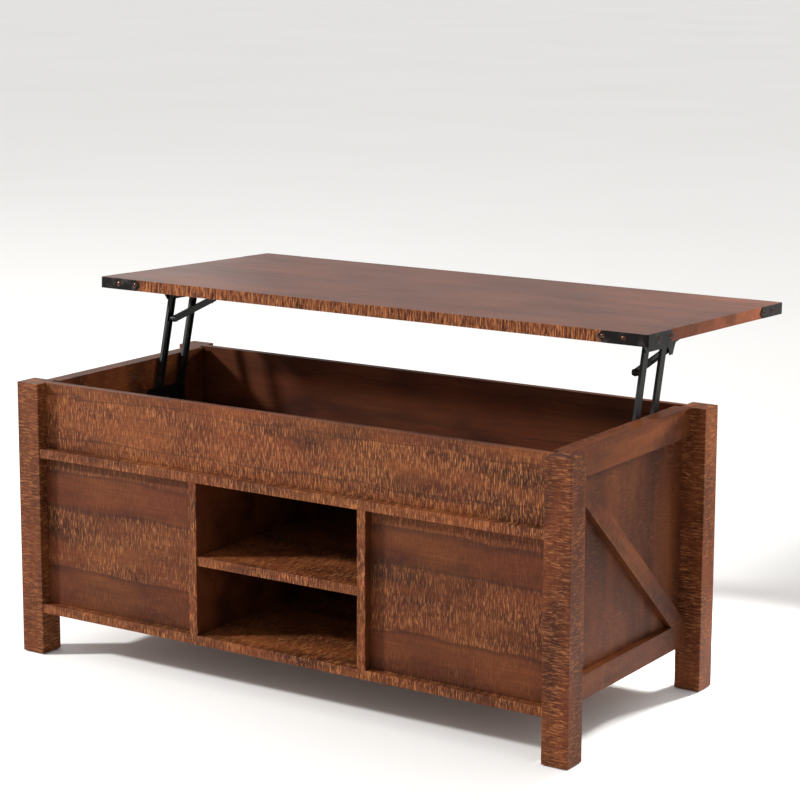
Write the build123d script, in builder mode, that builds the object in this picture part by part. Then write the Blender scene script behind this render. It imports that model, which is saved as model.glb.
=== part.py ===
"""Lift top coffee table, modelled with its lid raised.

Frame: origin on the floor under the middle of the whole table in this pose,
X along the length, -Y on the open shelf side, +Y towards the person who sits at
the raised lid, +Z up.  Places across the table are given from the cabinet's own
middle, which stands at cabinet_y.  Millimetres.
"""
from build123d import *
from math import atan2, cos, degrees, hypot, radians, sin
import os

os.makedirs("parts", exist_ok=True)

# ---------------------------------------------------------------- cabinet
table_length = 1060.0
table_depth = 478.0
table_height = 467.0
leg_width = 45.0
leg_depth = 44.0
leg_rounding = 1.5
glide_height = 2.0
glide_radius = 11.0
board = 15.0
edge_rounding = 0.6

bottom_board_z = 73.5
floor_board_z = 341.5
shelf_z = 205.0
board_setback = 2.0
apron_recess = 20.0
panel_recess = 18.0
divider_inner_x = 156.0
shelf_side_gap = 0.5
shelf_setback = 4.0
shelf_rear_gap = 1.0
peg_radius = 2.5
peg_length = 18.0
peg_depth = 9.0
peg_hole_depth = 10.0
peg_pitch = 28.0
peg_from_front = 39.0
peg_from_rear = 80.0

wall_inner_x = 475.0
rail_thickness = 12.5
side_bottom_z = 76.5
bottom_rail_height = 39.5
top_rail_height = 47.0
brace_end_width = 48.0

# ---------------------------------------------------------------- fasteners
dowel_radius = 4.0
dowel_half = 14.5
dowel_hole_radius = 4.05
dowel_hole_depth = 15.0
board_dowel_in_leg = 12.0
apron_dowel_heights = (24.0, 68.0)
divider_dowel_length = 23.0
divider_dowel_hole = 12.0
divider_dowel_y = (-150.0, 130.0)
cam_radius = 7.5
cam_height = 12.0
cam_reach = 34.0
cam_slot_length = 9.0
cam_slot_width = 1.6
cam_slot_depth = 2.0
cam_bolt_radius = 3.0
cam_bolt_in_leg = 11.0
cam_bolt_from_leg_edge = 30.0
rail_screw_radius = 2.0
rail_screw_head_radius = 4.0
rail_screw_length = 24.0
rail_screw_head_depth = 2.0
rail_screw_head_sunk = 0.2
bottom_rail_screw_y = (-150.0, 0.0, 150.0)
top_rail_screw_y = (-150.0, 0.0, 170.0)
brace_screw_shares = (0.12, 0.5, 0.88)
hole_gap = 0.05
tip_gap = 0.5

# ---------------------------------------------------------------- lid
lid_length = 1064.0
lid_depth = 486.0
lid_thickness = 19.0
lid_corner_rounding = 3.0
lid_rest_gap = 2.0
bumper_radius = 5.0
bumper_height = 1.8
guard_sheet = 1.0
guard_leg = 86.0
guard_point = 9.0
guard_screw_radius = 1.8
guard_screw_head_radius = 4.2
guard_screw_length = 18.0
guard_screw_head = 1.6
guard_screw_places = (40.0, 76.0)

# ---------------------------------------------------------------- lift mechanism
arm_length = 189.0
raised_lean = 14.3
closed_rise = 17.75
raised_tilt = -1.7
pivot_spacing = 61.0
front_pivot_y = 56.0
pivot_z = 393.0
arm_width = 16.0
arm_depth = 5.0
arm_sheet = 2.0
arm_outer_x = 471.7
pin_radius = 4.0
pin_clearance = 0.05
pin_head_radius = 5.2
pin_head_height = 2.0
pin_head_gap = 0.2
outer_head_height = 0.4
open_pivot_clearance = 0.6
base_sheet = 2.4
bracket_sheet = 2.0
bracket_outer_x = 474.2
bracket_inner_x = 452.0
bracket_front = -18.0
bracket_rear = 150.0
bracket_nose_z = 2.0
bracket_margin = 9.0
bracket_screw_from_edge = 4.5
bracket_screw_along = (-8.0, 30.0, 78.0, 138.0)
lug_x = 463.0
lug_front_reach = 26.0
lug_rear_reach = 30.0
lug_half_width = 9.0
lug_tip_half_width = 5.0
stay_outer_x = 458.5
stay_sheet = 3.0
stay_width = 12.0
stay_pin_radius = 3.0
stay_pin_along_arm = 146.5
stay_stud_along = 100.9
stay_stud_drop = 17.1
stay_slot_width = 7.0
stay_slot_depth = 2.0
stay_slot_start_share = 0.47
stay_end = 7.0
stay_boss_radius = 5.0
stay_head_height = 2.5
base_size = (104.0, 44.0)
base_middle = (86.0, 392.0)
base_corner = 6.0
base_screw_places = [(42.0, 378.0), (74.0, 378.0), (99.0, 378.0), (131.0, 378.0)]
base_screw_length = 14.0
base_screw_head = 2.2
bracket_screw_length = 13.0
dimple_radius = 2.5
dimple_height = 1.0
front_dimples = (85.0, 114.5)
rear_dimples = (106.5, 125.0)

# ---------------------------------------------------------------- derived places
half_length = table_length / 2
half_depth = table_depth / 2
leg_inner_x = half_length - leg_width
leg_inner_y = half_depth - leg_depth
bottom_board_top = bottom_board_z + board
floor_top = floor_board_z + board
board_edge_y = half_depth - board_setback
apron_outer_y = half_depth - apron_recess
apron_inner_y = apron_outer_y - board
panel_outer_y = half_depth - panel_recess
panel_inner_y = panel_outer_y - board
wall_outer_x = wall_inner_x + board
rail_outer_x = wall_outer_x + rail_thickness
top_rail_z = table_height - top_rail_height
bottom_rail_top = side_bottom_z + bottom_rail_height
divider_outer_x = divider_inner_x + board

raised_angle = 90.0 - raised_lean
closed_angle = 180.0 - closed_rise
front_pivot = (front_pivot_y, pivot_z)


def along(start, angle, distance):
    """Point (y, z) at a distance from another, at an angle above +Y."""
    return (
        start[0] + distance * cos(radians(angle)),
        start[1] + distance * sin(radians(angle)),
    )


front_top = along(front_pivot, raised_angle, arm_length)
front_top_closed = along(front_pivot, closed_angle, arm_length)
rear_top = along(front_top, raised_tilt, pivot_spacing)
rear_top_closed = along(front_top_closed, 0.0, pivot_spacing)
lid_above_pivot = table_height + lid_rest_gap - front_top_closed[1]
lid_centre_along = -front_top_closed[0]


def equidistant_y(first, second, z):
    """Y of the point at height z that is equally far from two (y, z) points."""
    squares = first[0] ** 2 + (first[1] - z) ** 2 - second[0] ** 2 - (second[1] - z) ** 2
    return squares / (2 * (first[0] - second[0]))


rear_pivot = (equidistant_y(rear_top, rear_top_closed, pivot_z), pivot_z)
rear_arm_length = hypot(rear_top[0] - rear_pivot[0], rear_top[1] - rear_pivot[1])
rear_raised_angle = degrees(atan2(rear_top[1] - rear_pivot[1], rear_top[0] - rear_pivot[0]))
stay_pin_place = along(front_pivot, raised_angle, stay_pin_along_arm)
stay_stud_place = along(
    along(front_top, raised_tilt, stay_stud_along), raised_tilt - 90.0, stay_stud_drop
)
stay_reach = hypot(
    stay_stud_place[0] - stay_pin_place[0], stay_stud_place[1] - stay_pin_place[1]
)
stay_angle = degrees(
    atan2(stay_stud_place[1] - stay_pin_place[1], stay_stud_place[0] - stay_pin_place[0])
)

lid_underside = along(
    along(front_top, raised_tilt, lid_centre_along), raised_tilt + 90.0, lid_above_pivot
)
lid_rear_tip = along(
    along(lid_underside, raised_tilt + 90.0, lid_thickness / 2 + guard_screw_head_radius),
    raised_tilt,
    lid_depth / 2 + guard_sheet + guard_screw_head,
)
cabinet_y = (half_depth - lid_rear_tip[0]) / 2

sides = {"left": -1, "right": 1}
ends = {"front": -1, "rear": 1}


# ---------------------------------------------------------------- helpers
def keep(piece, name):
    """Name a finished piece and write its STEP file."""
    piece.part.label = name
    export_step(piece.part, f"parts/{name}.step")


def level(z):
    """Level plane at height z, centred on the cabinet."""
    return Plane(origin=(0, cabinet_y, z))


def across(x):
    """Plane facing +X at x, with its own x axis along Y from the cabinet's middle."""
    return Plane(origin=(x, cabinet_y, 0), x_dir=(0, 1, 0), z_dir=(1, 0, 0))


def lengthways(y):
    """Plane facing -Y at y from the cabinet's middle, with its own x axis along X."""
    return Plane(origin=(0, cabinet_y + y, 0), x_dir=(1, 0, 0), z_dir=(0, -1, 0))


def upright_plane(x, place, angle):
    """Plane facing +X through a (y, z) place, its own x axis at an angle above +Y."""
    direction = (0, cos(radians(angle)), sin(radians(angle)))
    return Plane(origin=(x, cabinet_y + place[0], place[1]), x_dir=direction, z_dir=(1, 0, 0))


def lid_plane(height):
    """Plane parallel to the raised lid, a height above its underside, centred on it."""
    centre = along(lid_underside, raised_tilt + 90.0, height)
    normal = (0, -sin(radians(raised_tilt)), cos(radians(raised_tilt)))
    return Plane(origin=(0, cabinet_y + centre[0], centre[1]), x_dir=(1, 0, 0), z_dir=normal)


def add_slab(x_range, y_range, z_range):
    """Add a rectangular board that fills the given ranges, in any order of ends."""
    x_low, x_high = sorted(x_range)
    y_low, y_high = sorted(y_range)
    z_low, z_high = sorted(z_range)
    with BuildSketch(level(z_low)) as outline:
        with Locations(((x_low + x_high) / 2, (y_low + y_high) / 2)):
            Rectangle(x_high - x_low, y_high - y_low)
    extrude(outline.sketch, amount=z_high - z_low)


def x_holes(places, face_x, depth, radius):
    """Cut round holes along X from the plane at face_x, a signed depth, at (y, z) places."""
    with BuildSketch(across(face_x)) as holes:
        with Locations(*places):
            Circle(radius)
    extrude(holes.sketch, amount=depth, mode=Mode.SUBTRACT)


def y_holes(places, face_y, depth, radius):
    """Cut round holes along Y from the plane at face_y, a signed depth, at (x, z) places."""
    with BuildSketch(lengthways(face_y)) as holes:
        with Locations(*places):
            Circle(radius)
    extrude(holes.sketch, amount=-depth, mode=Mode.SUBTRACT)


def z_holes(places, face_z, depth, radius):
    """Cut round holes along Z from the plane at face_z, a signed depth, at (x, y) places."""
    with BuildSketch(level(face_z)) as holes:
        with Locations(*places):
            Circle(radius)
    extrude(holes.sketch, amount=depth, mode=Mode.SUBTRACT)


def x_pegs(places, start_x, end_x, radius):
    """Add round pegs along X from start_x to end_x, at (y, z) places."""
    with BuildSketch(across(start_x)) as pegs:
        with Locations(*places):
            Circle(radius)
    extrude(pegs.sketch, amount=end_x - start_x)


# ---------------------------------------------------------------- joint layout
board_middles = (bottom_board_z + board / 2, floor_board_z + board / 2)
board_dowel_y = leg_inner_y + board_dowel_in_leg
cam_bolt_y = leg_inner_y + cam_bolt_from_leg_edge
apron_middle_y = apron_outer_y - board / 2
apron_dowel_z = [floor_top + height for height in apron_dowel_heights]
rail_middle_x = wall_outer_x + rail_thickness / 2
rail_dowel_z = (side_bottom_z + bottom_rail_height / 2, top_rail_z + top_rail_height / 2)
peg_columns = (-half_depth + peg_from_front, half_depth - peg_from_rear)
cam_places = [
    (x_side * (leg_inner_x - cam_reach), y_side * cam_bolt_y)
    for x_side in (-1, 1)
    for y_side in (-1, 1)
]
peg_hole_z = [shelf_z - peg_radius + step * peg_pitch for step in (-1, 0, 1)]
bottom_rail_screws = [(y, rail_dowel_z[0]) for y in bottom_rail_screw_y]
top_rail_screws = [(y, rail_dowel_z[1]) for y in top_rail_screw_y]


def brace_line(share):
    """Middle of the brace at a share of its way from top front to bottom rear."""
    y_top = -leg_inner_y + brace_end_width / 2
    return (y_top * (1 - 2 * share), top_rail_z + share * (bottom_rail_top - top_rail_z))


brace_screws = [brace_line(share) for share in brace_screw_shares]
side_screws = bottom_rail_screws + top_rail_screws + brace_screws


# ---------------------------------------------------------------- legs and feet
def make_leg(x_side, y_side, name):
    """Square post, rounded on its long edges, drilled for boards, apron and rails."""
    middle_x = x_side * (half_length - leg_width / 2)
    middle_y = y_side * (half_depth - leg_depth / 2)
    inner_x = x_side * leg_inner_x
    with BuildPart() as leg:
        with BuildSketch(level(glide_height)):
            with Locations((middle_x, middle_y)):
                Rectangle(leg_width, leg_depth)
        extrude(amount=table_height - glide_height)
        fillet(leg.edges().filter_by(Axis.Z), leg_rounding)
        fillet(leg.faces().sort_by(Axis.Z)[-1].edges(), edge_rounding)
        dowels = [(y_side * board_dowel_y, z) for z in board_middles]
        dowels += [(y_side * apron_middle_y, z) for z in apron_dowel_z]
        bolts = [(y_side * cam_bolt_y, z) for z in board_middles]
        rail_dowels = [(x_side * rail_middle_x, z) for z in rail_dowel_z]
        x_holes(dowels, inner_x, x_side * dowel_hole_depth, dowel_hole_radius)
        x_holes(bolts, inner_x, x_side * cam_bolt_in_leg, cam_bolt_radius + hole_gap)
        y_holes(rail_dowels, y_side * leg_inner_y, y_side * dowel_hole_depth, dowel_hole_radius)
    keep(leg, name)


def make_foot_glides():
    """Four nylon glides, one tapped under each leg."""
    with BuildPart() as glides:
        with BuildSketch(level(0)):
            with GridLocations(table_length - leg_width, table_depth - leg_depth, 2, 2):
                Circle(glide_radius)
        extrude(amount=glide_height)
        fillet(glides.faces().sort_by(Axis.Z)[:4].edges(), edge_rounding)
    keep(glides, "foot_glides")


# ---------------------------------------------------------------- carcass boards
def make_main_board(underside, name):
    """Full length board, notched round the side panels, drilled for its fittings."""
    middle_z = underside + board / 2
    is_floor = underside > shelf_z
    with BuildPart() as main_board:
        with BuildSketch(level(underside)):
            Rectangle(2 * leg_inner_x, 2 * board_edge_y)
            with Locations((leg_inner_x, 0), (-leg_inner_x, 0)):
                Rectangle(2 * (leg_inner_x - wall_inner_x), 2 * leg_inner_y, mode=Mode.SUBTRACT)
        extrude(amount=board)
        outer = main_board.edges().filter_by(Axis.X).group_by(Axis.Y)
        fillet(outer[0] + outer[-1], edge_rounding)
        dowels = [(side * board_dowel_y, middle_z) for side in (-1, 1)]
        bolts = [(side * cam_bolt_y, middle_z) for side in (-1, 1)]
        for side in (-1, 1):
            end_x = side * leg_inner_x
            x_holes(dowels, end_x, -side * dowel_hole_depth, dowel_hole_radius)
            x_holes(bolts, end_x, -side * cam_reach, cam_bolt_radius + hole_gap)
        z_holes(cam_places, underside, cam_height, cam_radius + hole_gap)
        dowel_face = underside if is_floor else underside + board
        into_board = divider_dowel_hole if is_floor else -divider_dowel_hole
        z_holes(divider_dowel_places(), dowel_face, into_board, dowel_hole_radius)
    keep(main_board, name)


def divider_dowel_places():
    """(x, y) of the upright dowels that hold the dividers."""
    middle_x = divider_inner_x + board / 2
    return [(side * middle_x, y) for side in (-1, 1) for y in divider_dowel_y]


def make_divider(side, name):
    """Upright that closes a side bay and carries the shelf."""
    with BuildPart() as divider:
        add_slab(
            (side * divider_inner_x, side * divider_outer_x),
            (-board_edge_y, panel_inner_y),
            (bottom_board_top, floor_board_z),
        )
        fillet(divider.edges().filter_by(Axis.Z).group_by(Axis.Y)[0], edge_rounding)
        pegs = [(y, z) for y in peg_columns for z in peg_hole_z]
        x_holes(pegs, side * divider_inner_x, side * peg_hole_depth, peg_radius + hole_gap)
        dowels = [place for place in divider_dowel_places() if place[0] * side > 0]
        z_holes(dowels, bottom_board_top, divider_dowel_hole, dowel_hole_radius)
        z_holes(dowels, floor_board_z, -divider_dowel_hole, dowel_hole_radius)
    keep(divider, name)


def make_shelf():
    """Loose shelf between the dividers, resting on four pegs."""
    shelf_half = divider_inner_x - shelf_side_gap
    with BuildPart() as shelf:
        add_slab(
            (-shelf_half, shelf_half),
            (-half_depth + shelf_setback, panel_inner_y - shelf_rear_gap),
            (shelf_z, shelf_z + board),
        )
        fillet(shelf.edges().filter_by(Axis.X), edge_rounding)
    keep(shelf, "shelf")


def make_shelf_pegs():
    """Four steel pegs under the shelf, two in each divider."""
    places = [(y, peg_hole_z[1]) for y in peg_columns]
    with BuildPart() as pegs:
        for side in (-1, 1):
            deep_end = side * (divider_inner_x + peg_depth)
            x_pegs(places, deep_end, deep_end - side * peg_length, peg_radius)
    keep(pegs, "shelf_pegs")


def make_apron(y_side, name):
    """Long wall of the lift compartment, dowelled between two legs."""
    places = [(y_side * apron_middle_y, z) for z in apron_dowel_z]
    with BuildPart() as apron:
        add_slab(
            (-leg_inner_x, leg_inner_x),
            (y_side * apron_inner_y, y_side * apron_outer_y),
            (floor_top, table_height),
        )
        fillet(apron.edges().filter_by(Axis.X), edge_rounding)
        for side in (-1, 1):
            x_holes(places, side * leg_inner_x, -side * dowel_hole_depth, dowel_hole_radius)
    keep(apron, name)


def make_front_panel(side, name):
    """Fixed panel that closes a side bay on the open shelf side."""
    with BuildPart() as panel:
        add_slab(
            (side * divider_outer_x, side * leg_inner_x),
            (-panel_outer_y, -panel_inner_y),
            (bottom_board_top, floor_board_z),
        )
    keep(panel, name)


def make_back_panel():
    """Fixed panel across the whole back, behind both dividers."""
    with BuildPart() as panel:
        add_slab(
            (-leg_inner_x, leg_inner_x),
            (panel_inner_y, panel_outer_y),
            (bottom_board_top, floor_board_z),
        )
    keep(panel, "back_panel")


# ---------------------------------------------------------------- side walls
def make_side_panel(side, name):
    """Full height side wall between two legs, with screw holes from the inside."""
    inner_x = side * wall_inner_x
    with BuildPart() as panel:
        add_slab(
            (inner_x, side * wall_outer_x), (-leg_inner_y, leg_inner_y), (side_bottom_z, table_height)
        )
        x_holes(side_screws, inner_x, side * board, rail_screw_radius + hole_gap)
        x_holes(side_screws, inner_x, side * rail_screw_head_depth, rail_screw_head_radius)
        base_hole_depth = side * (base_screw_length - base_sheet + tip_gap)
        x_holes(base_screw_places, inner_x, base_hole_depth, rail_screw_radius + hole_gap)
    keep(panel, name)


def drill_rail(side, screws):
    """Blind screw holes in the inner face of a piece fixed outside the side panel."""
    depth = side * (rail_screw_length - board)
    x_holes(screws, side * wall_outer_x, depth, rail_screw_radius + hole_gap)


def make_side_rail(side, low_z, high_z, dowel_z, screws, name):
    """Horizontal rail laid on the side panel between two legs."""
    with BuildPart() as rail:
        add_slab(
            (side * wall_outer_x, side * rail_outer_x), (-leg_inner_y, leg_inner_y), (low_z, high_z)
        )
        outer_face = rail.faces().sort_by(Axis.X)[-1 if side > 0 else 0]
        fillet(outer_face.edges().filter_by(Axis.Y), edge_rounding)
        drill_rail(side, screws)
        for y_side in (-1, 1):
            end_y = y_side * leg_inner_y
            y_holes(
                [(side * rail_middle_x, dowel_z)], end_y, -y_side * dowel_hole_depth, dowel_hole_radius
            )
    keep(rail, name)


def make_side_brace(side, name):
    """Diagonal batten from the front top corner to the rear bottom corner."""
    corners = [
        (-leg_inner_y, top_rail_z),
        (-leg_inner_y + brace_end_width, top_rail_z),
        (leg_inner_y, bottom_rail_top),
        (leg_inner_y - brace_end_width, bottom_rail_top),
    ]
    with BuildPart() as brace:
        with BuildSketch(across(side * wall_outer_x)):
            with BuildLine():
                Polyline(*corners, close=True)
            make_face()
        extrude(amount=side * rail_thickness)
        outer_face = brace.faces().sort_by(Axis.X)[-1 if side > 0 else 0]
        fillet(outer_face.edges().sort_by(SortBy.LENGTH)[-2:], edge_rounding)
        drill_rail(side, brace_screws)
    keep(brace, name)


# ---------------------------------------------------------------- fasteners
def make_frame_dowels():
    """Beech dowels from boards and aprons into the legs, and from rails into the legs."""
    cross_dowels = [(y_side * board_dowel_y, z) for y_side in (-1, 1) for z in board_middles]
    cross_dowels += [(y_side * apron_middle_y, z) for y_side in (-1, 1) for z in apron_dowel_z]
    rail_dowels = [(side * rail_middle_x, z) for side in (-1, 1) for z in rail_dowel_z]
    with BuildPart() as dowels:
        for side in (-1, 1):
            start = side * (leg_inner_x - dowel_half)
            x_pegs(cross_dowels, start, start + side * 2 * dowel_half, dowel_radius)
        for y_side in (-1, 1):
            with BuildSketch(lengthways(y_side * (leg_inner_y - dowel_half))):
                with Locations(*rail_dowels):
                    Circle(dowel_radius)
            extrude(amount=-y_side * 2 * dowel_half)
    keep(dowels, "frame_dowels")


def make_divider_dowels():
    """Upright beech dowels at the top and bottom of both dividers."""
    with BuildPart() as dowels:
        for face_z in (bottom_board_top, floor_board_z):
            with BuildSketch(level(face_z - divider_dowel_length / 2)):
                with Locations(*divider_dowel_places()):
                    Circle(dowel_radius)
            extrude(amount=divider_dowel_length)
    keep(dowels, "divider_dowels")


def make_cam_locks():
    """Cam discs let into the undersides of the two main boards."""
    with BuildPart() as cams:
        for underside in (bottom_board_z, floor_board_z):
            with BuildSketch(level(underside)):
                with Locations(*cam_places):
                    Circle(cam_radius)
            extrude(amount=cam_height)
            with BuildSketch(level(underside)):
                with Locations(*cam_places):
                    Rectangle(cam_slot_length, cam_slot_width)
                    Rectangle(cam_slot_width, cam_slot_length)
            extrude(amount=cam_slot_depth, mode=Mode.SUBTRACT)
    keep(cams, "cam_locks")


def make_cam_bolts():
    """Steel bolts screwed into the legs and held by the cam discs."""
    places = [(y_side * cam_bolt_y, z) for y_side in (-1, 1) for z in board_middles]
    with BuildPart() as bolts:
        for side in (-1, 1):
            start = side * (leg_inner_x - cam_reach + cam_radius + hole_gap)
            x_pegs(places, start, side * (leg_inner_x + cam_bolt_in_leg), cam_bolt_radius)
    keep(bolts, "cam_bolts")


def make_rail_screws():
    """Wood screws from inside the side panels into the rails and braces."""
    with BuildPart() as screws:
        for side in (-1, 1):
            head_face = side * (wall_inner_x + rail_screw_head_sunk)
            tip = side * (wall_inner_x + rail_screw_length - tip_gap)
            x_pegs(side_screws, head_face, tip, rail_screw_radius)
            head_end = side * (wall_inner_x + rail_screw_head_depth)
            x_pegs(side_screws, head_face, head_end, rail_screw_head_radius - hole_gap)
    keep(screws, "rail_screws")


# ---------------------------------------------------------------- lid
bumper_spread = (2 * (half_length - leg_width / 2), 2 * (half_depth - leg_depth / 2))
bracket_screw_x = bracket_inner_x + bracket_screw_from_edge
bracket_screw_y = [along_lid - lid_centre_along for along_lid in bracket_screw_along]
lid_middle = lid_plane(lid_thickness / 2)


def edge_planes(x_side, y_side):
    """Planes on the two lid edges at a corner: x away from the corner, normal outwards."""
    corner_place = Vector(x_side * lid_length / 2, y_side * lid_depth / 2, 0)
    corner = lid_middle.from_local_coords(corner_place)
    to_end = lid_middle.x_dir * x_side
    to_edge = lid_middle.y_dir * y_side
    long_edge = Plane(origin=corner, x_dir=to_end * -1, z_dir=to_edge)
    short_edge = Plane(origin=corner, x_dir=to_edge * -1, z_dir=to_end)
    return (long_edge, short_edge)


all_edge_planes = [
    plane for x_side in (-1, 1) for y_side in (-1, 1) for plane in edge_planes(x_side, y_side)
]
guard_screw_spots = [(place, 0) for place in guard_screw_places]


def make_lid_board():
    """Lid board with rounded corners, drilled for the bracket and guard screws."""
    with BuildPart() as lid:
        with BuildSketch(lid_plane(0)):
            RectangleRounded(lid_length, lid_depth, lid_corner_rounding)
        extrude(amount=lid_thickness)
        fillet(lid.faces().sort_by(Axis.Z)[-1].edges(), edge_rounding)
        with BuildSketch(lid_plane(0)):
            for side in (-1, 1):
                with Locations(*[(side * bracket_screw_x, y) for y in bracket_screw_y]):
                    Circle(rail_screw_radius + hole_gap)
        extrude(amount=bracket_screw_length, mode=Mode.SUBTRACT)
        for plane in all_edge_planes:
            with BuildSketch(plane):
                with Locations(*guard_screw_spots):
                    Circle(guard_screw_radius + hole_gap)
            extrude(amount=-guard_screw_length, mode=Mode.SUBTRACT)
    keep(lid, "lid_board")


def make_corner_guard(x_side, y_side, name):
    """Pressed steel angle on the edges of one lid corner, with arrow shaped ends."""
    reach = guard_leg + guard_sheet
    middle_x = x_side * (lid_length / 2 + guard_sheet - reach / 2)
    middle_y = y_side * (lid_depth / 2 + guard_sheet - reach / 2)
    half_height = lid_thickness / 2
    with BuildPart() as guard:
        with BuildSketch(lid_plane(0)):
            RectangleRounded(
                lid_length + 2 * guard_sheet,
                lid_depth + 2 * guard_sheet,
                lid_corner_rounding + guard_sheet,
            )
            RectangleRounded(lid_length, lid_depth, lid_corner_rounding, mode=Mode.SUBTRACT)
            with Locations((middle_x, middle_y)):
                Rectangle(reach, reach, mode=Mode.INTERSECT)
        extrude(amount=lid_thickness)
        for plane in edge_planes(x_side, y_side):
            with BuildSketch(plane):
                with Locations(*guard_screw_spots):
                    Circle(guard_screw_radius + hole_gap)
                for up in (-1, 1):
                    with BuildLine():
                        Polyline(
                            (guard_leg, 0),
                            (guard_leg - guard_point, up * half_height),
                            (guard_leg + guard_point, up * half_height),
                            (guard_leg + guard_point, 0),
                            close=True,
                        )
                    make_face()
            extrude(amount=guard_sheet, mode=Mode.SUBTRACT)
    keep(guard, name)


def make_corner_guard_screws():
    """Dome head screws through the corner guards into the lid edges."""
    with BuildPart() as screws:
        for plane in all_edge_planes:
            with BuildSketch(plane.offset(-guard_screw_length + tip_gap)):
                with Locations(*guard_screw_spots):
                    Circle(guard_screw_radius)
            extrude(amount=guard_screw_length - tip_gap + guard_sheet)
            with BuildSketch(plane.offset(guard_sheet)):
                with Locations(*guard_screw_spots):
                    Circle(guard_screw_head_radius)
            extrude(amount=guard_screw_head)
    keep(screws, "corner_guard_screws")


def make_lid_bumpers():
    """Soft buttons under the lid that land on the four legs."""
    with BuildPart() as bumpers:
        with BuildSketch(lid_plane(0)):
            with GridLocations(bumper_spread[0], bumper_spread[1], 2, 2):
                Circle(bumper_radius)
        extrude(amount=-bumper_height)
    keep(bumpers, "lid_bumpers")


# ---------------------------------------------------------------- lift mechanism
arm_inner_x = arm_outer_x - arm_depth
web_inner_x = arm_outer_x - arm_sheet
arm_head_x = web_inner_x - pin_head_gap
base_inner_x = wall_inner_x - base_sheet
bracket_web_x = bracket_outer_x - bracket_sheet
stay_inner_x = stay_outer_x - stay_sheet


def make_base_plate(side, name):
    """Flat steel plate screwed to the side wall, carrying the two lower pivots."""
    with BuildPart() as plate:
        with BuildSketch(across(side * base_inner_x)):
            with Locations(base_middle):
                RectangleRounded(*base_size, base_corner)
            with Locations(front_pivot, rear_pivot):
                Circle(pin_radius + pin_clearance, mode=Mode.SUBTRACT)
            with Locations(*base_screw_places):
                Circle(rail_screw_radius + hole_gap, mode=Mode.SUBTRACT)
        extrude(amount=side * base_sheet)
    keep(plate, name)


def make_base_screws():
    """Pan head screws that hold both base plates to the side walls."""
    with BuildPart() as screws:
        for side in (-1, 1):
            x_pegs(
                base_screw_places,
                side * base_inner_x,
                side * (base_inner_x + base_screw_length),
                rail_screw_radius,
            )
            x_pegs(
                base_screw_places,
                side * base_inner_x,
                side * (base_inner_x - base_screw_head),
                rail_screw_head_radius,
            )
    keep(screws, "base_plate_screws")


def rivet(side, places, outer_x, collar, collar_to_x):
    """Shouldered rivets along X: shank from outer_x, a collar, and a head inside the arm."""
    x_pegs(places, side * outer_x, side * arm_head_x, pin_radius)
    x_pegs(places, side * collar, side * collar_to_x, pin_head_radius)
    x_pegs(places, side * arm_head_x, side * (arm_head_x - pin_head_height), pin_head_radius)


def make_base_pins(side, name):
    """Two shouldered rivets on which the lower ends of the arms turn."""
    with BuildPart() as pins:
        rivet(side, [front_pivot, rear_pivot], wall_inner_x, base_inner_x, arm_outer_x + pin_head_gap)
    keep(pins, name)


def make_lift_arm(side, pivot, angle, length, name, dimples, stay_hole):
    """Pressed steel arm: a shallow channel with a turned-in rim all round."""
    with BuildPart() as arm:
        with BuildSketch(upright_plane(side * arm_outer_x, pivot, angle)):
            with Locations((length / 2, 0)):
                SlotCenterToCenter(length, arm_width)
        extrude(amount=-side * arm_depth)
        with BuildSketch(upright_plane(side * web_inner_x, pivot, angle)):
            with Locations((length / 2, 0)):
                SlotCenterToCenter(length, arm_width - 2 * arm_sheet)
        extrude(amount=-side * (arm_depth - arm_sheet), mode=Mode.SUBTRACT)
        with BuildSketch(upright_plane(side * web_inner_x, pivot, angle)):
            with Locations(*[(place, 0) for place in dimples]):
                Circle(dimple_radius)
        extrude(amount=-side * dimple_height)
        with BuildSketch(upright_plane(side * arm_outer_x, pivot, angle)):
            with Locations((0, 0), (length, 0)):
                Circle(pin_radius + pin_clearance)
            if stay_hole:
                with Locations((stay_pin_along_arm, 0)):
                    Circle(stay_pin_radius + pin_clearance)
        extrude(amount=-side * arm_sheet, mode=Mode.SUBTRACT)
    keep(arm, name)


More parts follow.
